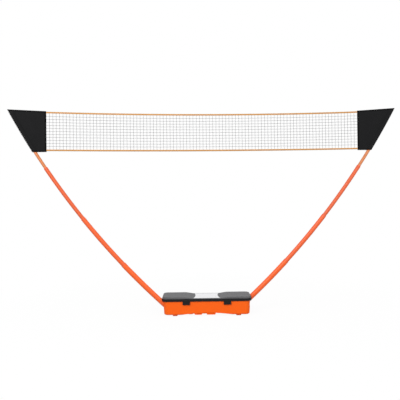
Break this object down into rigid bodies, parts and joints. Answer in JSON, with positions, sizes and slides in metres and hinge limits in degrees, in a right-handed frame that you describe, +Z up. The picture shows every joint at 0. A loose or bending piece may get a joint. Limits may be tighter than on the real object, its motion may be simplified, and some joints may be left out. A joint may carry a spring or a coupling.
{
  "type": "portable net on telescopic poles",
  "caption": "Free-standing game net on two curved telescopic poles that lean out of a hard carry case used as the foot.",
  "frame": {"origin": "on the floor, midway between the poles and the four feet of the case", "axes": "+X along the net to the right seen from the front, +Y to the back (hinge side of the case), +Z up"},
  "size_m": [3.0082, 0.22, 1.5879],
  "materials": {
    "case_plastic": "orange polypropylene, fine moulded texture",
    "lid_frame_plastic": "black polypropylene, fine moulded texture",
    "lid_panel_plastic": "dark grey polypropylene, fine moulded texture",
    "plate_metal": "pale anodised sheet, satin",
    "steel": "zinc-plated steel",
    "tube_paint": "orange powder coat on steel tube, satin",
    "ring_plastic": "orange nylon",
    "bush_plastic": "black nylon",
    "tip_glass_fibre": "tan glass fibre tube",
    "panel_fabric": "black woven polyester",
    "binding_webbing": "black polyester webbing",
    "tape_webbing": "orange polyester webbing",
    "net_cord": "grey twisted polyester cord, knotted"
  },
  "bodies": {
    "case": {"case_base": "case_plastic", "carry_grip": "case_plastic", "grip_screws": "steel", "front_left_foot": "case_plastic", "front_right_foot": "case_plastic", "rear_left_foot": "case_plastic", "rear_right_foot": "case_plastic", "left_socket": "case_plastic", "left_spare_socket": "case_plastic", "left_hinge_bracket": "lid_frame_plastic", "left_hinge_pin": "steel", "left_base_tube": "tube_paint", "left_base_mouth_ring": "ring_plastic", "left_heel_plug": "bush_plastic", "right_socket": "case_plastic", "right_spare_socket": "case_plastic", "right_hinge_bracket": "lid_frame_plastic", "right_hinge_pin": "steel", "right_base_tube": "tube_paint", "right_base_mouth_ring": "ring_plastic", "right_heel_plug": "bush_plastic"},
    "lid": {"lid_frame": "lid_frame_plastic", "lid_panel": "lid_panel_plastic", "lid_plate": "plate_metal", "left_latch_pin": "steel", "right_latch_pin": "steel"},
    "left_latch": {"left_latch": "lid_frame_plastic"},
    "right_latch": {"right_latch": "lid_frame_plastic"},
    "net": {"net_mesh": "net_cord", "top_tape": "tape_webbing", "bottom_tape": "tape_webbing"},
    "left_lower_section": {"left_lower_tube": "tube_paint", "left_lower_mouth_ring": "ring_plastic", "left_lower_tail_bush": "bush_plastic"},
    "left_upper_section": {"left_upper_tube": "tube_paint", "left_upper_mouth_ring": "ring_plastic", "left_upper_tail_bush": "bush_plastic"},
    "left_tip_section": {"left_tip": "tip_glass_fibre", "left_tip_tail_bush": "bush_plastic", "left_tip_cap": "bush_plastic", "left_end_panel": "panel_fabric", "left_panel_binding": "binding_webbing"},
    "right_lower_section": {"right_lower_tube": "tube_paint", "right_lower_mouth_ring": "ring_plastic", "right_lower_tail_bush": "bush_plastic"},
    "right_upper_section": {"right_upper_tube": "tube_paint", "right_upper_mouth_ring": "ring_plastic", "right_upper_tail_bush": "bush_plastic"},
    "right_tip_section": {"right_tip": "tip_glass_fibre", "right_tip_tail_bush": "bush_plastic", "right_tip_cap": "bush_plastic", "right_end_panel": "panel_fabric", "right_panel_binding": "binding_webbing"}
  },
  "joints": [
    {"name": "left_lower_telescope", "type": "hinge", "parent": "case", "child": "left_lower_section", "pos_m": [3.49572, -0.058, 4.24978], "axis": [0, -1, 0], "range_deg": [0, 4.21]},
    {"name": "left_upper_telescope", "type": "hinge", "parent": "left_lower_section", "child": "left_upper_section", "pos_m": [3.49572, -0.058, 4.24978], "axis": [0, -1, 0], "range_deg": [0, 4.46]},
    {"name": "left_tip_telescope", "type": "hinge", "parent": "left_upper_section", "child": "left_tip_section", "pos_m": [3.49572, -0.058, 4.24978], "axis": [0, -1, 0], "range_deg": [0, 1.24]},
    {"name": "right_lower_telescope", "type": "hinge", "parent": "case", "child": "right_lower_section", "pos_m": [-3.49572, 0.058, 4.24978], "axis": [0, 1, 0], "range_deg": [0, 4.21]},
    {"name": "right_upper_telescope", "type": "hinge", "parent": "right_lower_section", "child": "right_upper_section", "pos_m": [-3.49572, 0.058, 4.24978], "axis": [0, 1, 0], "range_deg": [0, 4.46]},
    {"name": "right_tip_telescope", "type": "hinge", "parent": "right_upper_section", "child": "right_tip_section", "pos_m": [-3.49572, 0.058, 4.24978], "axis": [0, 1, 0], "range_deg": [0, 1.24]},
    {"name": "net_lowering", "type": "slide", "parent": "case", "child": "net", "axis": [0, 0, -1], "range_m": [0, 0.7676], "deforming": ["net_mesh", "top_tape", "bottom_tape"]},
    {"name": "lid_hinge", "type": "hinge", "parent": "case", "child": "lid", "pos_m": [0, 0.107, 0.106], "axis": [-1, 0, 0], "range_deg": [0, 105]},
    {"name": "left_latch_hinge", "type": "hinge", "parent": "lid", "child": "left_latch", "pos_m": [-0.155, -0.103, 0.123], "axis": [-1, 0, 0], "range_deg": [0, 100]},
    {"name": "right_latch_hinge", "type": "hinge", "parent": "lid", "child": "right_latch", "pos_m": [0.155, -0.103, 0.123], "axis": [-1, 0, 0], "range_deg": [0, 100]}
  ],
  "couplings": [
    {"joint": "left_upper_telescope", "follows": "left_lower_telescope", "ratio": 1.0602},
    {"joint": "left_tip_telescope", "follows": "left_lower_telescope", "ratio": 0.29397},
    {"joint": "right_lower_telescope", "follows": "left_lower_telescope", "ratio": 1},
    {"joint": "right_upper_telescope", "follows": "left_lower_telescope", "ratio": 1.0602},
    {"joint": "right_tip_telescope", "follows": "left_lower_telescope", "ratio": 0.29397},
    {"joint": "net_lowering", "follows": "left_lower_telescope", "m_per_rad": 10.45}
  ]
}
